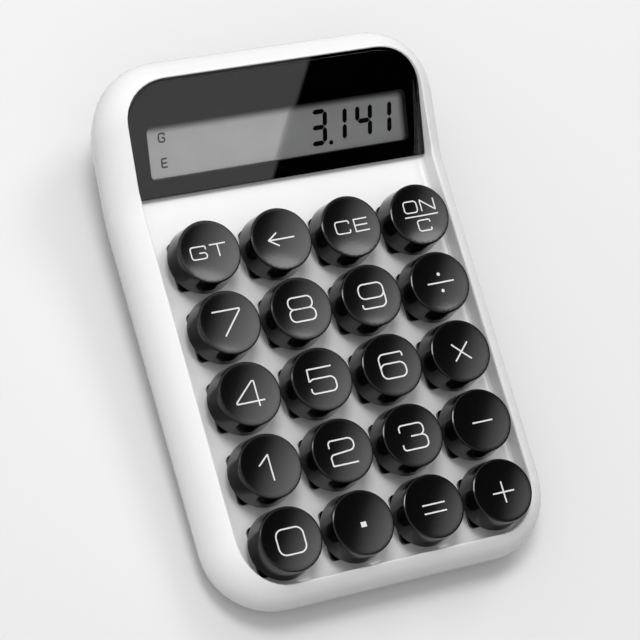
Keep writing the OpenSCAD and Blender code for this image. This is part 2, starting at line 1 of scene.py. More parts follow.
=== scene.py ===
"""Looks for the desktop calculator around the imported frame.

Materials, display, key legends, switch springs, studio and camera.
"""

import json
import math

import bmesh
import bpy
from mathutils import Matrix, Vector


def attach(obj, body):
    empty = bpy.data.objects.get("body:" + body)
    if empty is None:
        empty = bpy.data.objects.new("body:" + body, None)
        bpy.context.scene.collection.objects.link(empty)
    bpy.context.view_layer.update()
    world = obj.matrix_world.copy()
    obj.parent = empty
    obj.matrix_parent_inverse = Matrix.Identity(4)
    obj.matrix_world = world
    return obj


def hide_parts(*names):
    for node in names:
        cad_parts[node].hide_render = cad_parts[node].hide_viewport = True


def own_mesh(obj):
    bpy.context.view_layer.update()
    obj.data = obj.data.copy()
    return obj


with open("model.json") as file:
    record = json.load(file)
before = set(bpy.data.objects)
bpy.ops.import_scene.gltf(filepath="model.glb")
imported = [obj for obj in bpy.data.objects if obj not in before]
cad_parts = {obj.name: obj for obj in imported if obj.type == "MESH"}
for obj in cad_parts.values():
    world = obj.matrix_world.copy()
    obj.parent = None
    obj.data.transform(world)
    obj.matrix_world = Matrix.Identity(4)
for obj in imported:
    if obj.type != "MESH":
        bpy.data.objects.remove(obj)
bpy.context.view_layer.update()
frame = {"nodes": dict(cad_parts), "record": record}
NODES = frame["nodes"]
MM = 0.001

# Sizes of the part, as in its source (millimetres)
# Key deck: tilt, middle of the key grid and height there
DECK_TILT = math.radians(4.5)
GRID_Y = -22.9
DECK_Z = 18.8
KEY_PITCH_X = 24.0
KEY_PITCH_Y = 22.4994
# Key caps: height of the rim of the top above the deck, depth and radius of the dish
CAP_TOP = 13.4
CAP_DISH = 0.5
DISH_R = 9.3
# Display: foot of the window, thickness of the floor under it, opening for the cell on that floor
WINDOW_Y = 44.8
DISPLAY_FLOOR = 2.0
LCD_GAP = 0.05
LCD_LEFT = -43.83
LCD_RIGHT = 45.83
LCD_LOW = 5.1
LCD_HIGH = 21.9
LCD_CORNER = 2.0
KEYS = [
    "grand_total", "backspace", "clear_entry", "on_clear",
    "seven", "eight", "nine", "divide",
    "four", "five", "six", "multiply",
    "one", "two", "three", "minus",
    "zero", "point", "equals", "plus",
]


def tilted(y, z, tilt):
    """Millimetre frame at (0, y, z), tilted about X, as a matrix in metres."""
    scale = Matrix.Scale(MM, 4)
    return Matrix.Translation((0, y * MM, z * MM)) @ Matrix.Rotation(tilt, 4, "X") @ scale


# An upper face of the window has a normal steeper than this
FACES_UP = 0.5
DECK = tilted(GRID_Y, DECK_Z, DECK_TILT)
window_z = DECK_Z + (WINDOW_Y - GRID_Y) * math.tan(DECK_TILT)
window_mesh = NODES["display_window"].data
window_face = max(window_mesh.polygons, key=lambda face: face.area if face.normal.z > FACES_UP else 0)
window_tilt = math.atan2(-window_face.normal.y, window_face.normal.z)
DISPLAY = tilted(WINDOW_Y, window_z, window_tilt)
LCD_FACE = -DISPLAY_FLOOR * math.cos(window_tilt) - LCD_GAP


def key_place(i):
    """Column and row of a key, counted from the middle of the grid."""
    return i % 4 - 1.5, 2 - i // 4


# Materials

NOISE_DETAIL = 4.0
NOISE_ENDS = (0.3, 0.7)
BUMP_DETAIL = 3.0
BUMP_HEIGHT = 0.00005
# Sockets of a Mix node that mixes colours
MIX_FACTOR, MIX_A, MIX_B, MIX_RESULT = 0, 6, 7, 2
# Painted shadow on the cell at its upper and its right edge, standing in for the shade that the mask's edge
# casts there: what is left of the colour, and how far it reaches (mm)
UPPER_PAINTED_SHADOW = (0.02, 3.0)
RIGHT_PAINTED_SHADOW = (0.25, 2.6)


def material(name, base, roughness, spread=0.04, grain=300.0, bump=0.0, bump_grain=2000.0,
             rough_spread=0.05, metallic=0.0, specular=0.5, ior=1.5):
    """Principled material whose colour and roughness vary with noise, with an optional fine bump."""
    mat = bpy.data.materials.new(name)
    mat.use_nodes = True
    tree = mat.node_tree
    shader = tree.nodes["Principled BSDF"]
    shader.inputs["Metallic"].default_value = metallic
    shader.inputs["IOR"].default_value = ior
    shader.inputs["Specular IOR Level"].default_value = specular
    where = tree.nodes.new("ShaderNodeTexCoord")
    noise = tree.nodes.new("ShaderNodeTexNoise")
    noise.inputs["Scale"].default_value = grain
    noise.inputs["Detail"].default_value = NOISE_DETAIL
    tree.links.new(where.outputs["Object"], noise.inputs["Vector"])
    ramp = tree.nodes.new("ShaderNodeValToRGB")
    dark, light = ramp.color_ramp.elements
    dark.position, light.position = NOISE_ENDS
    dark.color = [max(0.0, c * (1 - spread)) for c in base] + [1]
    light.color = [min(1.0, c * (1 + spread)) for c in base] + [1]
    tree.links.new(noise.outputs["Fac"], ramp.inputs["Fac"])
    tree.links.new(ramp.outputs["Color"], shader.inputs["Base Color"])
    rough = tree.nodes.new("ShaderNodeMapRange")
    rough.inputs["To Min"].default_value = max(0.0, roughness - rough_spread)
    rough.inputs["To Max"].default_value = roughness + rough_spread
    tree.links.new(noise.outputs["Fac"], rough.inputs["Value"])
    tree.links.new(rough.outputs["Result"], shader.inputs["Roughness"])
    if bump:
        fine = tree.nodes.new("ShaderNodeTexNoise")
        fine.inputs["Scale"].default_value = bump_grain
        fine.inputs["Detail"].default_value = BUMP_DETAIL
        tree.links.new(where.outputs["Object"], fine.inputs["Vector"])
        relief = tree.nodes.new("ShaderNodeBump")
        relief.inputs["Strength"].default_value = bump
        relief.inputs["Distance"].default_value = BUMP_HEIGHT
        tree.links.new(fine.outputs["Fac"], relief.inputs["Height"])
        tree.links.new(relief.outputs["Normal"], shader.inputs["Normal"])
    return mat


def glass_material():
    """Clear acrylic with faint smears in its gloss."""
    mat = material("smoked_glass", (0.9, 0.9, 0.9), 0.004, spread=0.01, grain=60.0,
                   rough_spread=0.004, ior=1.49)
    shader = mat.node_tree.nodes["Principled BSDF"]
    shader.inputs["Transmission Weight"].default_value = 1.0
    return mat


def cell_material():
    """Reflective grey cell with a painted shadow that darkens its colour towards the upper and the right
    edge of its opening.
    """
    mat = material("lcd_cell_painted_shadow", (0.7, 0.7, 0.7), 0.015, spread=0.03, grain=150.0,
                   rough_spread=0.005, metallic=0.4)
    tree = mat.node_tree
    shader = tree.nodes["Principled BSDF"]
    colour = shader.inputs["Base Color"].links[0].from_socket
    where = tree.nodes.new("ShaderNodeTexCoord")
    to_display = DISPLAY.to_3x3().inverted()
    across, along = to_display[0], to_display[1]
    start = DISPLAY.translation
    # Painted shadow: the cell's colour is multiplied darker near the upper and the right edge of the opening
    for axis, edge, (dark, width) in ((along, LCD_HIGH, UPPER_PAINTED_SHADOW), (across, LCD_RIGHT, RIGHT_PAINTED_SHADOW)):
        reach = tree.nodes.new("ShaderNodeVectorMath")
        reach.operation = "DOT_PRODUCT"
        reach.inputs[1].default_value = axis
        shade = tree.nodes.new("ShaderNodeMapRange")
        shade.interpolation_type = "SMOOTHSTEP"
        shade.inputs["From Min"].default_value = edge + axis.dot(start)
        shade.inputs["From Max"].default_value = edge - width + axis.dot(start)
        shade.inputs["To Min"].default_value = dark
        mix = tree.nodes.new("ShaderNodeMix")
        mix.data_type = "RGBA"
        mix.blend_type = "MULTIPLY"
        mix.inputs[MIX_FACTOR].default_value = 1.0
        tree.links.new(where.outputs["Object"], reach.inputs[0])
        tree.links.new(reach.outputs["Value"], shade.inputs["Value"])
        tree.links.new(colour, mix.inputs[MIX_A])
        tree.links.new(shade.outputs["Result"], mix.inputs[MIX_B])
        colour = mix.outputs[MIX_RESULT]
    tree.links.new(colour, shader.inputs["Base Color"])
    return mat


WHITE = material("white_gloss_plastic", (0.86, 0.86, 0.86), 0.15, spread=0.006, grain=700.0,
                 rough_spread=0.02, specular=0.3, bump=0.02, bump_grain=900.0)
CAP = material("black_satin_plastic", (0.0025, 0.0025, 0.0026), 0.13, spread=0.25, grain=2500.0,
               rough_spread=0.03, specular=0.35, bump=0.02, bump_grain=6000.0)
HOUSING = material("black_moulded_plastic", (0.003, 0.003, 0.003), 0.16, spread=0.2, grain=900.0,
                   bump=0.04, bump_grain=5000.0)
STEM = material("brown_plastic", (0.2, 0.09, 0.04), 0.4, spread=0.1, grain=800.0, bump=0.1)
INK = material("legend_ink", (0.66, 0.66, 0.65), 0.45, spread=0.04, grain=3000.0,
               bump=0.1, bump_grain=8000.0)
MASK = material("black_printed_mask", (0.001, 0.001, 0.001), 0.6, spread=0.2, grain=1500.0, specular=0.0)
CELL = cell_material()
SEGMENT = material("lcd_segment", (0.005, 0.005, 0.005), 0.5, spread=0.2, grain=4000.0, specular=0.0)
FAINT = material("lcd_mark", (0.03, 0.03, 0.03), 0.5, spread=0.1, grain=4000.0, specular=0.1)
GLASS = glass_material()
DARK_FOAM = material("dark_gasket", (0.004, 0.004, 0.004), 0.7, spread=0.2, grain=3000.0, bump=0.2)
BOARD = material("green_laminate", (0.02, 0.13, 0.05), 0.3, spread=0.15, grain=500.0, bump=0.1)
RESIN = material("chip_resin", (0.012, 0.012, 0.012), 0.55, spread=0.2, grain=3000.0, bump=0.15)
FILM = material("amber_film", (0.5, 0.25, 0.05), 0.25, spread=0.1, grain=700.0)
ZEBRA = material("strip_rubber", (0.5, 0.24, 0.28), 0.7, spread=0.2, grain=4000.0, bump=0.2)
RUBBER = material("black_rubber", (0.02, 0.02, 0.02), 0.75, spread=0.25, grain=2000.0,
                  bump=0.3, bump_grain=6000.0)
STEEL = material("bright_steel", (0.58, 0.58, 0.6), 0.26, spread=0.06, grain=1500.0,
                 metallic=1.0, bump=0.08)
BRASS = material("contact_brass", (0.72, 0.5, 0.2), 0.3, spread=0.08, grain=1500.0, metallic=1.0)
WRAP = material("cell_wrap", (0.09, 0.2, 0.3), 0.28, spread=0.1, grain=300.0)
HOLDER = material("grey_plastic", (0.03, 0.03, 0.03), 0.45, spread=0.15, grain=900.0, bump=0.1)
FINISH = {
    "case_plastic": WHITE, "window_glass": GLASS, "lcd_glass": CELL, "cap_plastic": CAP,
    "housing_plastic": HOUSING, "stem_plastic": STEM, "holder_plastic": HOLDER, "board_laminate": BOARD,
    "chip_resin": RESIN, "ribbon_film": FILM, "zebra_rubber": ZEBRA, "foot_rubber": RUBBER,
    "spring_steel": STEEL, "contact_brass": BRASS, "screw_steel": STEEL, "cell_case": WRAP,
}


# Smooth shading of the CAD meshes, by angle

WELD_DISTANCE = 0.000002
CAP_SMOOTH = math.radians(18)
CASE_SMOOTH = math.radians(22)


def smoothing_group():
    """Geometry nodes that weld a mesh and shade it smooth where its faces meet below the given angle."""
    group = bpy.data.node_groups.new("smooth_by_angle", "GeometryNodeTree")
    group.interface.new_socket("Geometry", in_out="INPUT", socket_type="NodeSocketGeometry")
    group.interface.new_socket("Angle", in_out="INPUT", socket_type="NodeSocketFloat")
    group.interface.new_socket("Geometry", in_out="OUTPUT", socket_type="NodeSocketGeometry")
    nodes, links = group.nodes, group.links
    start = nodes.new("NodeGroupInput")
    end = nodes.new("NodeGroupOutput")
    bare = nodes.new("GeometryNodeRemoveAttribute")
    bare.inputs["Name"].default_value = "custom_normal"
    weld = nodes.new("GeometryNodeMergeByDistance")
    weld.inputs["Distance"].default_value = WELD_DISTANCE
    faces = nodes.new("GeometryNodeSetShadeSmooth")
    faces.domain = "FACE"
    edges = nodes.new("GeometryNodeSetShadeSmooth")
    edges.domain = "EDGE"
    edges.inputs["Shade Smooth"].default_value = False
    turn = nodes.new("GeometryNodeInputMeshEdgeAngle")
    sharp = nodes.new("FunctionNodeCompare")
    sharp.data_type = "FLOAT"
    sharp.operation = "GREATER_THAN"
    links.new(start.outputs["Geometry"], bare.inputs["Geometry"])
    links.new(bare.outputs["Geometry"], weld.inputs["Geometry"])
    links.new(weld.outputs["Geometry"], faces.inputs["Geometry"])
    links.new(faces.outputs["Geometry"], edges.inputs["Geometry"])
    links.new(turn.outputs["Unsigned Angle"], sharp.inputs[0])
    links.new(start.outputs["Angle"], sharp.inputs[1])
    links.new(sharp.outputs["Result"], edges.inputs["Selection"])
    links.new(edges.outputs["Geometry"], end.inputs["Geometry"])
    return group


SMOOTH = smoothing_group()
ANGLE = next(s.identifier for s in SMOOTH.interface.items_tree if s.name == "Angle")
slot_of = {s["node"]: s["material_slot"] for s in frame["record"]["subparts"]}
for name, obj in NODES.items():
    obj.data.materials.clear()
    obj.data.materials.append(FINISH[slot_of[name]])
    smooth = obj.modifiers.new("smooth", "NODES")
    smooth.node_group = SMOOTH
    smooth[ANGLE] = CAP_SMOOTH if name.startswith("cap_") else CASE_SMOOTH
    weigh = obj.modifiers.new("weigh", "WEIGHTED_NORMAL")
    weigh.keep_sharp = True


# Pieces

MERGE_DISTANCE = 1e-7


def add_piece(name, mesh, body, mat):
    """New piece from a mesh in the row frame, riding on a body."""
    obj = bpy.data.objects.new(name, mesh)
    bpy.context.scene.collection.objects.link(obj)
    mesh.materials.append(mat)
    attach(obj, body)
    return obj


def finished_mesh(work, name):
    """Mesh with its faces turned outwards, from a bmesh that is then freed."""
    bmesh.ops.recalc_face_normals(work, faces=work.faces)
    mesh = bpy.data.meshes.new(name)
    work.to_mesh(mesh)
    work.free()
    return mesh


def flat_mesh(name, loops, low, high, place):
    """Closed flat mesh between two heights from 2-D loops; inner loops are holes."""
    curve = bpy.data.curves.new(name + "_outline", "CURVE")
    curve.dimensions = "2D"
    curve.fill_mode = "BOTH"
    curve.extrude = (high - low) / 2
    for loop in loops:
        spline = curve.splines.new("POLY")
        spline.points.add(len(loop) - 1)
        for point, (x, y) in zip(spline.points, loop):
            point.co = (x, y, 0, 1)
        spline.use_cyclic_u = True
    holder = bpy.data.objects.new(name + "_holder", curve)
    bpy.context.scene.collection.objects.link(holder)
    bpy.context.view_layer.update()
    graph = bpy.context.evaluated_depsgraph_get()
    mesh = bpy.data.meshes.new_from_object(holder.evaluated_get(graph))
    bpy.data.objects.remove(holder)
    bpy.data.curves.remove(curve)
    mesh.materials.clear()
    mesh.transform(place @ Matrix.Translation((0, 0, (low + high) / 2)))
    work = bmesh.new()
    work.from_mesh(mesh)
    bmesh.ops.remove_doubles(work, verts=work.verts, dist=MERGE_DISTANCE)
    bmesh.ops.recalc_face_normals(work, faces=work.faces)
    work.to_mesh(mesh)
    work.free()
    return mesh


def arc(cx, cy, r, start, end, steps=12):
    """Points of an arc in degrees, ends included."""
    turn = [math.radians(start + (end - start) * i / steps) for i in range(steps + 1)]
    return [(cx + r * math.cos(a), cy + r * math.sin(a)) for a in turn]


def circle(cx, cy, r, count):
    """Points of a closed circle."""
    return arc(cx, cy, r, 0, 360 - 360 / count, count - 1)


def rounded_rect(x0, y0, x1, y1, r, steps=8):
    """Closed rounded rectangle, counter-clockwise."""
    return (arc(x1 - r, y0 + r, r, -90, 0, steps) + arc(x1 - r, y1 - r, r, 0, 90, steps)
            + arc(x0 + r, y1 - r, r, 90, 180, steps) + arc(x0 + r, y0 + r, r, 180, 270, steps))


# Display: printed mask behind the glass, gasket, segments and marks (millimetres)

# Points of the glass below this height belong to its underside
UNDERSIDE = 0.2
MASK_LIP = 0.15
MASK_T = 0.04
EDGE_INSETS = (0.06, 0.16)
EDGE_HEIGHTS = (0.02, 1.9)
GASKET_INSETS = (0.05, 0.35)
GASKET_GAP = 0.03


def window_outline():
    """Outline of the window's underside on the display floor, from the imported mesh."""
    to_display = DISPLAY.inverted()
    points = [to_display @ v.co for v in window_mesh.vertices]
    flat = sorted({(round(p.x, 3), round(p.y, 3)) for p in points if p.z < UNDERSIDE})
    hull = []
    for sweep in (flat, flat[::-1]):
        chain = []
        for p in sweep:
            while len(chain) > 1 and ((chain[-1][0] - chain[-2][0]) * (p[1] - chain[-2][1])
                                      - (chain[-1][1] - chain[-2][1]) * (p[0] - chain[-2][0])) <= 0:
                chain.pop()
            chain.append(p)
        hull += chain[:-1]
    return hull


def lcd_rect(inset):
    """Opening of the cell, drawn in by an inset."""
    return rounded_rect(LCD_LEFT + inset, LCD_LOW + inset, LCD_RIGHT - inset, LCD_HIGH - inset,
                        LCD_CORNER - inset)


def build_display():
    """Mask with the cell's opening, dark band inside the glass's edge, and gasket around the cell."""
    outline = window_outline()
    mask = flat_mesh("display_mask", [outline, lcd_rect(MASK_LIP)], 0.0, MASK_T, DISPLAY)
    add_piece("display_mask", mask, "case", MASK)
    middle = Vector((0, (outline[0][1] + max(y for _, y in outline)) / 2))
    ring = [Vector(p) for p in outline]
    rings = [[p + (middle - p).normalized() * inset for p in ring] for inset in EDGE_INSETS]
    band = flat_mesh("display_edge", rings, *EDGE_HEIGHTS, DISPLAY)
    add_piece("display_edge", band, "case", MASK)
    gasket_rings = [lcd_rect(inset) for inset in GASKET_INSETS]
    gasket = flat_mesh("display_gasket", gasket_rings, LCD_FACE + GASKET_GAP, -GASKET_GAP, DISPLAY)
    add_piece("display_gasket", gasket, "case", DARK_FOAM)


# Readout: slant, foot and size of the digits, their bars, bars and middle of each, and the decimal point
SLANT = math.tan(math.radians(5.5))
DIGIT_LOW, DIGIT_WIDE, DIGIT_TALL = 8.45, 4.5, 9.9
BAR_WIDTH, BAR_GAP, BAR_T = 1.5, 0.12, 0.06
DIGITS = (("abgcd", 15.1), ("bc", 22.1), ("fgbc", 31.1), ("bc", 38.05))
POINT_X, POINT_DROP, POINT_R = 19.0, 0.3, 0.72


def segment(x0, y0, x1, y1):
    """Six-sided bar between two points of a digit."""
    dx, dy = x1 - x0, y1 - y0
    size = math.hypot(dx, dy)
    ux, uy = dx / size, dy / size
    h = BAR_WIDTH / 2
    return [(x0, y0), (x0 + (ux + uy) * h, y0 + (uy - ux) * h), (x1 - (ux - uy) * h, y1 - (uy + ux) * h),
            (x1, y1), (x1 - (ux + uy) * h, y1 - (uy - ux) * h), (x0 + (ux - uy) * h, y0 + (uy + ux) * h)]


def digit(bars, cx):
    """Seven-segment digit as loops. bars holds the letters of the segments that show."""
    left, right, middle, top = -DIGIT_WIDE / 2, DIGIT_WIDE / 2, DIGIT_TALL / 2, DIGIT_TALL
    ends = {
        "a": (left, top, right, top), "b": (right, top, right, middle), "c": (right, middle, right, 0),
        "d": (left, 0, right, 0), "f": (left, top, left, middle), "g": (left, middle, right, middle),
    }
    loops = []
    for bar in bars:
        x0, y0, x1, y1 = ends[bar]
        size = math.hypot(x1 - x0, y1 - y0)
        ux, uy = (x1 - x0) / size * BAR_GAP, (y1 - y0) / size * BAR_GAP
        loop = segment(x0 + ux, y0 + uy, x1 - ux, y1 - uy)
        loops.append([(cx + x + (y - middle) * SLANT, DIGIT_LOW + y) for x, y in loop])
    return loops


def build_readout():
    """Digits and decimal point on the cell's face."""
    loops = []
    for bars, cx in DIGITS:
        loops += digit(bars, cx)
    loops.append(circle(POINT_X, DIGIT_LOW - POINT_DROP, POINT_R, 24))
    mesh = flat_mesh("lcd_digits", loops, LCD_FACE, LCD_FACE + BAR_T, DISPLAY)
    add_piece("lcd_digits", mesh, "case", SEGMENT)


# Key legends: thin strokes that follow the dish of the cap (millimetres)

LEGEND_LIFT = 0.035
STROKE = 0.46
SMALL_STROKE = 0.4
# Legends lie a little beside the middle of the cap: further right in each column, lower in each row
LEGEND_X, LEGEND_X_STEP, LEGEND_Y_STEP = 0.15, 0.11, 0.17
# Decimal point of the keys, and the dots of the division sign
PAD_HALF_X, PAD_HALF_Y = 0.9, 0.8
DOT_Y, DOT_R = 2.7, 0.55
# Corners: degrees per step, least reach along a side, and share of a side that a corner may take
CORNER_STEP, CORNER_LEAST, CORNER_SHARE = 12, 0.02, 0.49
MITRE_LEAST = 0.5
SAME_POINT = 1e-4
ZERO_LENGTH = 1e-6
ZERO_ANGLE = 1e-3


def rounded_path(points, radius, closed=False):
    """Polyline with each corner turned by an arc of at most the given radius."""
    count = len(points)
    out = []
    for i, p in enumerate(points):
        if not closed and i in (0, count - 1):
            out.append(Vector(p))
            continue
        p = Vector(p)
        before = Vector(points[i - 1]) - p
        after = Vector(points[(i + 1) % count]) - p
        r = radius[i] if isinstance(radius, list) else radius
        half = before.angle(after) / 2
        wanted = r / math.tan(half) if half > ZERO_ANGLE else 0
        reach = min(wanted, before.length * CORNER_SHARE, after.length * CORNER_SHARE)
        if reach < CORNER_LEAST:
            out.append(p)
            continue
        r = reach * math.tan(half)
        middle = p + (before.normalized() + after.normalized()).normalized() * (r / math.sin(half))
        a, b = p + before.normalized() * reach - middle, p + after.normalized() * reach - middle
        sweep = a.angle_signed(b)
        steps = max(3, int(abs(math.degrees(sweep)) / CORNER_STEP))
        for k in range(steps + 1):
            out.append(middle + Matrix.Rotation(-sweep * k / steps, 2) @ a)
    return out


def resample(path, closed, step=0.6):
    """Adds points so that no piece of the path is longer than a step."""
    out = []
    pairs = zip(path, path[1:] + path[:1]) if closed else zip(path, path[1:])
    for a, b in pairs:
        n = max(1, math.ceil((b - a).length / step))
        out += [a.lerp(b, k / n) for k in range(n)]
    if not closed:
        out.append(path[-1])
    clean = [out[0]]
    for p in out[1:]:
        if (p - clean[-1]).length > SAME_POINT:
            clean.append(p)
    if closed and (clean[0] - clean[-1]).length < SAME_POINT:
        clean.pop()
    return clean


def dish_z(x, y):
    """Height of a cap's dished top above the deck."""
    return CAP_TOP - CAP_DISH * (1 - min(1.0, (x * x + y * y) / DISH_R ** 2))


def add_stroke(work, path, closed, centre, width):
    """Adds one stroke of a legend to a bmesh, on the dish of the key at centre."""
    count = len(path)
    rings = []
    for i, p in enumerate(path):
        before = path[i - 1] if closed or i else path[0]
        after = path[(i + 1) % count] if closed or i < count - 1 else path[-1]
        into = (p - before) if (p - before).length > ZERO_LENGTH else (after - p)
        out = (after - p) if (after - p).length > ZERO_LENGTH else into
        n1, n2 = Vector((-into.y, into.x)).normalized(), Vector((-out.y, out.x)).normalized()
        normal = n1 + n2
        normal = normal.normalized() / max(MITRE_LEAST, math.sqrt(max(0.0, (1 + n1.dot(n2)) / 2)))
        ring = []
        for side, lift in ((1, 1), (-1, 1), (-1, -1), (1, -1)):
            q = p + normal * side * width / 2
            z = dish_z(q.x, q.y) + LEGEND_LIFT * lift
            ring.append(work.verts.new(DECK @ Vector((centre[0] + q.x, centre[1] + q.y, z))))
        rings.append(ring)
    last = count if closed else count - 1
    for i in range(last):
        a, b = rings[i], rings[(i + 1) % count]
        for k in range(4):
            work.faces.new((a[k], b[k], b[(k + 1) % 4], a[(k + 1) % 4]))
    if not closed:
        work.faces.new(rings[0])
        work.faces.new(rings[-1][::-1])


def box_path(x0, y0, x1, y1):
    """Corners of a rectangle, counter-clockwise."""
    return [(x0, y0), (x1, y0), (x1, y1), (x0, y1)]


def shifted(strokes, dx, dy, k=1.0):
    """Strokes moved and scaled."""
    out = []
    for points, radius, closed in strokes:
        radii = [r * k for r in radius] if isinstance(radius, list) else radius * k
        out.append(([(x * k + dx, y * k + dy) for x, y in points], radii, closed))
    return out


# Each glyph is a list of strokes: (points, corner radius, closed), in millimetres from its middle
HOOK = [(4.0, 2.5), (4.0, 3.9), (-4.2, 3.9), (-4.2, -1.1)]
GLYPHS = {
    "0": [(box_path(-4.5, -3.9, 4.4, 3.9), 2.3, True)],
    "1": [([(-3.4, 1.0), (0.2, 4.0), (0.2, -4.1)], 0.1, False)],
    "2": [([(-4.1, 1.6), (-4.1, 3.85), (4.15, 3.85), (4.15, 0.2), (-4.25, -0.5), (-4.25, -3.85),
            (4.2, -3.85)],
           [0, 1.5, 1.9, 1.7, 1.2, 0.2, 0], False)],
    "3": [([(-4.2, 1.7), (-4.2, 3.9), (3.9, 3.9), (3.9, 0.2), (-0.7, 0.2)], 1.6, False),
          ([(1.0, 0.2), (4.4, 0.2), (4.4, -3.9), (-4.2, -3.9), (-4.2, -2.1)], 1.6, False)],
    "4": [([(2.3, -4.0), (2.3, 3.95), (1.6, 3.95), (-4.75, -1.8), (-4.75, -2.3), (4.4, -2.3)], 0.15, False)],
    "5": [([(4.0, 3.85), (-4.1, 3.85), (-4.3, 0.0)], 0.1, False),
          ([(-4.3, 0.0), (-3.1, 0.7), (4.3, 0.7), (4.3, -3.85), (-4.2, -3.85), (-4.2, -2.1)], 1.7, False)],
    "6": [(box_path(-4.2, -3.85, 4.2, 0.8), 1.9, True), (HOOK, 1.9, False)],
    "7": [([(-4.8, 3.9), (4.2, 3.9), (4.2, 3.3), (-2.3, -4.0)], 0.15, False)],
    "8": [(box_path(-4.0, 0.1, 4.0, 3.8), 1.6, True), (box_path(-4.25, -3.8, 4.25, 0.1), 1.7, True)],
    "9": [(box_path(-4.2, -0.8, 4.2, 3.85), 1.9, True), ([(-x, -y) for x, y in HOOK], 1.9, False)],
    "G": [([(2.5, 0.9), (2.5, 1.95), (-2.6, 1.95), (-2.6, -1.95), (2.5, -1.95), (2.5, -0.1), (0.1, -0.1)],
           0.9, False)],
    "T": [([(-2.6, 1.95), (2.6, 1.95)], 0, False), ([(0, 1.95), (0, -1.95)], 0, False)],
    "C": [([(2.4, 0.9), (2.4, 1.95), (-2.4, 1.95), (-2.4, -1.95), (2.4, -1.95), (2.4, -0.9)], 0.9, False)],
    "E": [([(2.3, 1.95), (-2.2, 1.95), (-2.2, -1.95), (2.4, -1.95)], 0.05, False),
          ([(-2.2, 0), (2.1, 0)], 0, False)],
    "O": [(box_path(-2.5, -2.0, 2.5, 2.0), 1.1, True)],
    "N": [([(-2.5, -2.0), (-2.5, 2.0), (2.5, -2.0), (2.5, 2.0)], 0.05, False)],
    "minus": [([(-3.5, 0), (3.5, 0)], 0, False)],
    "plus": [([(-3.7, 0), (3.7, 0)], 0, False), ([(0, -3.35), (0, 3.35)], 0, False)],
    "times": [([(-2.8, -2.75), (2.8, 2.75)], 0, False), ([(-2.8, 2.75), (2.8, -2.75)], 0, False)],
    "equals": [([(-3.85, 1.3), (3.85, 1.3)], 0, False), ([(-3.85, -1.3), (3.85, -1.3)], 0, False)],
    "arrow": [([(4.4, 0), (-4.1, 0)], 0, False), ([(-1.1, 2.1), (-4.3, 0), (-1.1, -2.1)], 0.05, False)],
    "divide": [([(-4.6, 0), (4.6, 0)], 0, False)],
}
LEGENDS = {
    "grand_total": shifted(GLYPHS["G"], -3.4, 0) + shifted(GLYPHS["T"], 3.1, 0),
    "backspace": GLYPHS["arrow"],
    "clear_entry": shifted(GLYPHS["C"], -3.1, 0) + shifted(GLYPHS["E"], 3.35, 0),
    "on_clear": shifted(GLYPHS["O"], -2.7, 2.6, 0.92) + shifted(GLYPHS["N"], 3.3, 2.6, 0.92)
    + [([(-5.5, -0.6), (6.1, -0.6)], 0, False)] + shifted(GLYPHS["C"], 0.4, -3.8, 0.9),
    "seven": GLYPHS["7"], "eight": GLYPHS["8"], "nine": GLYPHS["9"], "divide": GLYPHS["divide"],
    "four": GLYPHS["4"], "five": GLYPHS["5"], "six": GLYPHS["6"], "multiply": GLYPHS["times"],
    "one": GLYPHS["1"], "two": GLYPHS["2"], "three": GLYPHS["3"], "minus": GLYPHS["minus"],
    "zero": GLYPHS["0"], "point": [], "equals": GLYPHS["equals"], "plus": GLYPHS["plus"],
}
SMALL_LEGENDS = ("grand_total", "clear_entry", "on_clear")


def add_pad(work, outline, centre):
    """Adds a small filled mark of a legend."""
    top, low = [], []
    for x, y in outline:
        for ring, lift in ((top, 1), (low, -1)):
            z = dish_z(x, y) + LEGEND_LIFT * lift
            ring.append(work.verts.new(DECK @ Vector((centre[0] + x, centre[1] + y, z))))
    work.faces.new(top)
    work.faces.new(low[::-1])
    for i in range(len(outline)):
        j = (i + 1) % len(outline)
        work.faces.new((low[i], low[j], top[j], top[i]))


def build_legends():
    """One legend on each cap."""
    for i, key in enumerate(KEYS):
        column, row = key_place(i)
        centre = (column * KEY_PITCH_X, row * KEY_PITCH_Y)
        dx, dy = LEGEND_X + LEGEND_X_STEP * column, LEGEND_Y_STEP * (row - 1)
        work = bmesh.new()
        for points, radius, closed in shifted(LEGENDS[key], dx, dy):
            path = resample(rounded_path(points, radius, closed), closed)
            add_stroke(work, path, closed, centre, SMALL_STROKE if key in SMALL_LEGENDS else STROKE)
        if key == "point":
            pad = box_path(dx - PAD_HALF_X, dy - PAD_HALF_Y, dx + PAD_HALF_X, dy + PAD_HALF_Y)
            add_pad(work, pad, centre)
        if key == "divide":
            for side in (-1, 1):
                add_pad(work, circle(dx, dy + side * DOT_Y, DOT_R, 16), centre)
        mesh = finished_mesh(work, "legend_" + key)
        add_piece("legend_" + key, mesh, "key_" + key, INK)


# Marks in the display: glyph, its middle and its corners; then how the key glyphs are scaled for them
MARKS = (("G", -38.1, 17.9, 0.8), ("E", -38.0, 10.1, 0.0))
MARK_SCALE = 0.5
MARK_SQUEEZE = (0.78, 1.35)
MARK_HALF_STROKE = 0.26
MARK_T = 0.05


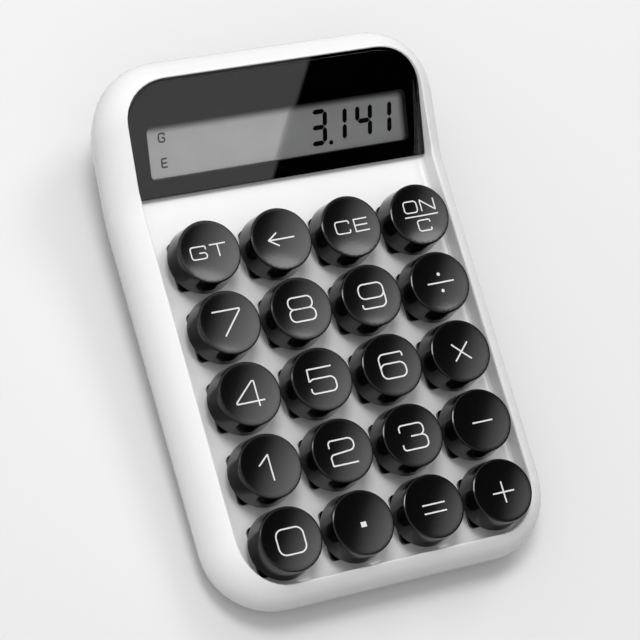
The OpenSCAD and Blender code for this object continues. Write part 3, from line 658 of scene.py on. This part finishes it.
def build_marks():
    """Two small letters at the left of the display."""
    work = bmesh.new()
    for glyph, x, y, corner in MARKS:
        for points, _, closed in shifted(GLYPHS[glyph], 0, 0, MARK_SCALE):
            squeezed = [(px * MARK_SQUEEZE[0], py * MARK_SQUEEZE[1]) for px, py in points]
            path = resample(rounded_path(squeezed, corner, closed), closed)
            for a, b in zip(path, path[1:]):
                side = Vector((a.y - b.y, b.x - a.x)).normalized() * MARK_HALF_STROKE
                corners = [a + side, a - side, b - side, b + side]
                rings = []
                for lift in (0.0, MARK_T):
                    rings.append([work.verts.new(DISPLAY @ Vector((c.x + x, c.y + y, LCD_FACE + lift)))
                                  for c in corners])
                work.faces.new(rings[1])
                work.faces.new(rings[0][::-1])
                for k in range(4):
                    j = (k + 1) % 4
                    work.faces.new((rings[0][k], rings[0][j], rings[1][j], rings[1][k]))
    mesh = finished_mesh(work, "lcd_marks")
    add_piece("lcd_marks", mesh, "case", FAINT)


# Switch springs: coils that replace the CAD sleeves (millimetres)

COIL_R = 1.95
COIL_TURNS = 7
COIL_STEPS = 20
WIRE_R = 0.3
WIRE_SIDES = 8


def coil_path(low, high):
    """Middle line of a coil with one closed turn at each end."""
    wire = 2 * WIRE_R
    path = []
    for i in range(COIL_TURNS * COIL_STEPS + 1):
        turn = i / COIL_STEPS
        open_part = min(1.0, max(0.0, (turn - 1) / (COIL_TURNS - 2)))
        closed_part = min(turn, 1.0) + max(0.0, turn - COIL_TURNS + 1)
        z = low + WIRE_R + closed_part * wire + open_part * (high - low - 3 * wire)
        angle = 2 * math.pi * turn
        path.append(Vector((COIL_R * math.cos(angle), COIL_R * math.sin(angle), z)))
    return path


def build_springs():
    """One coil in each switch, as high as its sleeve."""
    to_deck = DECK.inverted()
    heights = [(to_deck @ v.co).z for v in NODES["switch_springs"].data.vertices]
    low, high = min(heights), max(heights)
    path = coil_path(low, high)
    for i, key in enumerate(KEYS):
        column, row = key_place(i)
        centre = Vector((column * KEY_PITCH_X, row * KEY_PITCH_Y, 0))
        work = bmesh.new()
        rings = []
        for p in path:
            out = Vector((p.x, p.y, 0)).normalized()
            ring = []
            for k in range(WIRE_SIDES):
                a = 2 * math.pi * k / WIRE_SIDES
                q = p + (out * math.cos(a) + Vector((0, 0, math.sin(a)))) * WIRE_R
                ring.append(work.verts.new(DECK @ (centre + q)))
            rings.append(ring)
        for a, b in zip(rings, rings[1:]):
            for k in range(WIRE_SIDES):
                j = (k + 1) % WIRE_SIDES
                work.faces.new((a[k], a[j], b[j], b[k])).smooth = True
        work.faces.new(rings[0])
        work.faces.new(rings[-1][::-1])
        mesh = finished_mesh(work, "spring_" + key)
        spring = add_piece("spring_" + key, mesh, "case", STEEL)
        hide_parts("switch_springs")
        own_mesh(spring)


build_display()
build_readout()
build_marks()
build_legends()
build_springs()


# Studio

FLOOR_HALF = 4.0
FLOOR_SEEN = 0.77
FLOOR_BOUNCE = 0.2
# World: direction that it shines from, cosines to that direction and strengths there
WORLD_FROM = Vector((-0.72, 0.12, 0.68)).normalized()
WORLD_COSINES = (-0.4, 1.0)
WORLD_LEVELS = (0.1, 0.98)
LIGHT_TARGET = Vector((0, 0, 0.02))


def rectangle_mesh(name, x0, x1, y0, y1):
    """Flat rectangle at height 0."""
    mesh = bpy.data.meshes.new(name)
    mesh.from_pydata([(x0, y0, 0), (x1, y0, 0), (x1, y1, 0), (x0, y1, 0)], [], [(0, 1, 2, 3)])
    return mesh


def build_floor():
    """Paper that looks pale wherever it is seen, and throws back less light than it shows."""
    mesh = rectangle_mesh("studio_floor", -FLOOR_HALF, FLOOR_HALF, -FLOOR_HALF, FLOOR_HALF)
    floor = bpy.data.objects.new("studio_floor", mesh)
    bpy.context.scene.collection.objects.link(floor)
    mat = bpy.data.materials.new("studio_paper")
    mat.use_nodes = True
    tree = mat.node_tree
    shader = tree.nodes["Principled BSDF"]
    shader.inputs["Roughness"].default_value = 0.9
    shader.inputs["Specular IOR Level"].default_value = 0.1
    seen = tree.nodes.new("ShaderNodeLightPath")
    tone = tree.nodes.new("ShaderNodeMix")
    tone.data_type = "RGBA"
    tone.inputs[MIX_A].default_value = (FLOOR_BOUNCE, FLOOR_BOUNCE, FLOOR_BOUNCE, 1)
    tone.inputs[MIX_B].default_value = (FLOOR_SEEN, FLOOR_SEEN, FLOOR_SEEN, 1)
    shows = seen.outputs["Is Camera Ray"]
    for kind in ("Is Glossy Ray", "Is Transmission Ray"):
        either = tree.nodes.new("ShaderNodeMath")
        either.operation = "MAXIMUM"
        tree.links.new(shows, either.inputs[0])
        tree.links.new(seen.outputs[kind], either.inputs[1])
        shows = either.outputs[0]
    tree.links.new(shows, tone.inputs[MIX_FACTOR])
    tree.links.new(tone.outputs[MIX_RESULT], shader.inputs["Base Color"])
    mesh.materials.append(mat)


def build_world():
    """Light that falls off from the upper left towards the lower right."""
    world = bpy.data.worlds.new("studio")
    bpy.context.scene.world = world
    world.use_nodes = True
    tree = world.node_tree
    where = tree.nodes.new("ShaderNodeTexCoord")
    facing = tree.nodes.new("ShaderNodeVectorMath")
    facing.operation = "DOT_PRODUCT"
    facing.inputs[1].default_value = WORLD_FROM
    level = tree.nodes.new("ShaderNodeMapRange")
    level.inputs["From Min"].default_value, level.inputs["From Max"].default_value = WORLD_COSINES
    level.inputs["To Min"].default_value, level.inputs["To Max"].default_value = WORLD_LEVELS
    tree.links.new(where.outputs["Generated"], facing.inputs[0])
    tree.links.new(facing.outputs["Value"], level.inputs["Value"])
    tree.links.new(level.outputs["Result"], tree.nodes["Background"].inputs["Strength"])
    tree.nodes["Background"].inputs["Color"].default_value = (1, 1, 1, 1)


def area_light(name, place, size, power):
    """Round lamp that faces the object."""
    data = bpy.data.lights.new(name, "AREA")
    data.shape = "DISK"
    data.size = size
    data.energy = power
    lamp = bpy.data.objects.new(name, data)
    bpy.context.scene.collection.objects.link(lamp)
    lamp.location = place
    lamp.rotation_euler = (LIGHT_TARGET - Vector(place)).to_track_quat("-Z", "Y").to_euler()


def card(name, height, middle, turn, reach, glow, through_glass):
    """Studio card over the object that only reflections see.

    reach holds its two ends along X and along Y. glow holds the Y at which it starts to shine, the Y of its
    full strength, and that strength.
    """
    mesh = rectangle_mesh(name, *reach[0], *reach[1])
    obj = bpy.data.objects.new(name, mesh)
    bpy.context.scene.collection.objects.link(obj)
    obj.location = (*middle, height)
    obj.rotation_euler = (0, 0, turn)
    mat = bpy.data.materials.new(name)
    mat.use_nodes = True
    tree = mat.node_tree
    shader = tree.nodes["Principled BSDF"]
    shader.inputs["Base Color"].default_value = (0, 0, 0, 1)
    shader.inputs["Specular IOR Level"].default_value = 0.0
    shader.inputs["Emission Color"].default_value = (1, 1, 1, 1)
    where = tree.nodes.new("ShaderNodeTexCoord")
    axes = tree.nodes.new("ShaderNodeSeparateXYZ")
    ramp = tree.nodes.new("ShaderNodeMapRange")
    ramp.inputs["From Min"].default_value = glow[0]
    ramp.inputs["From Max"].default_value = glow[1]
    ramp.inputs["To Max"].default_value = glow[2]
    tree.links.new(where.outputs["Object"], axes.inputs["Vector"])
    tree.links.new(axes.outputs["Y"], ramp.inputs["Value"])
    tree.links.new(ramp.outputs["Result"], shader.inputs["Emission Strength"])
    mesh.materials.append(mat)
    obj.visible_camera = False
    obj.visible_diffuse = False
    obj.visible_shadow = False
    obj.visible_transmission = through_glass


build_floor()
build_world()
# The edge of the first card is the slanted line across the display glass; the key tops mirror the second
card("glass_card", height=0.6, middle=(0.3307, -0.355), turn=math.atan2(0.25, 0.0415),
     reach=((-0.13, 0.13), (-0.3, 0.2)), glow=(-0.001, 0.001, 0.66), through_glass=True)
card("key_card", height=3.0, middle=(1.34, 0.95), turn=math.radians(50.2),
     reach=((-1.5, 1.6), (-2.6, 1.2)), glow=(-0.65, 0.6, 6.7), through_glass=False)
area_light("key_light", place=(0.5, 0.5, 0.9), size=0.45, power=2.7)
area_light("top_light", place=(-0.25, 0.33, 1.25), size=0.4, power=6.0)

# Camera, solved from the photograph's key tops: a long lens over the left front corner
EYE = Vector((-0.348046, -0.218546, 0.736078))
RIGHT = Vector((0.89049, -0.27371, 0.36347))
UP = Vector((0.17214, 0.94211, 0.28773))
FOCAL_PX = 2676.16
IMAGE_PX = 640
SENSOR_MM = 36
tilt = Matrix.Rotation(DECK_TILT, 3, "X")
right = (tilt @ RIGHT).normalized()
up = tilt @ UP
up = (up - right * up.dot(right)).normalized()
back = right.cross(up)
lens = bpy.data.cameras.new("photo_camera")
lens.sensor_fit = "HORIZONTAL"
lens.sensor_width = SENSOR_MM
lens.lens = SENSOR_MM * FOCAL_PX / IMAGE_PX
lens.clip_start = 0.01
camera = bpy.data.objects.new("photo_camera", lens)
bpy.context.scene.collection.objects.link(camera)
rotation = Matrix((right, up, back)).transposed().to_4x4()
camera.matrix_world = Matrix.Translation(EYE) @ rotation
bpy.context.scene.camera = camera
bpy.context.scene.view_settings.view_transform = "Standard"
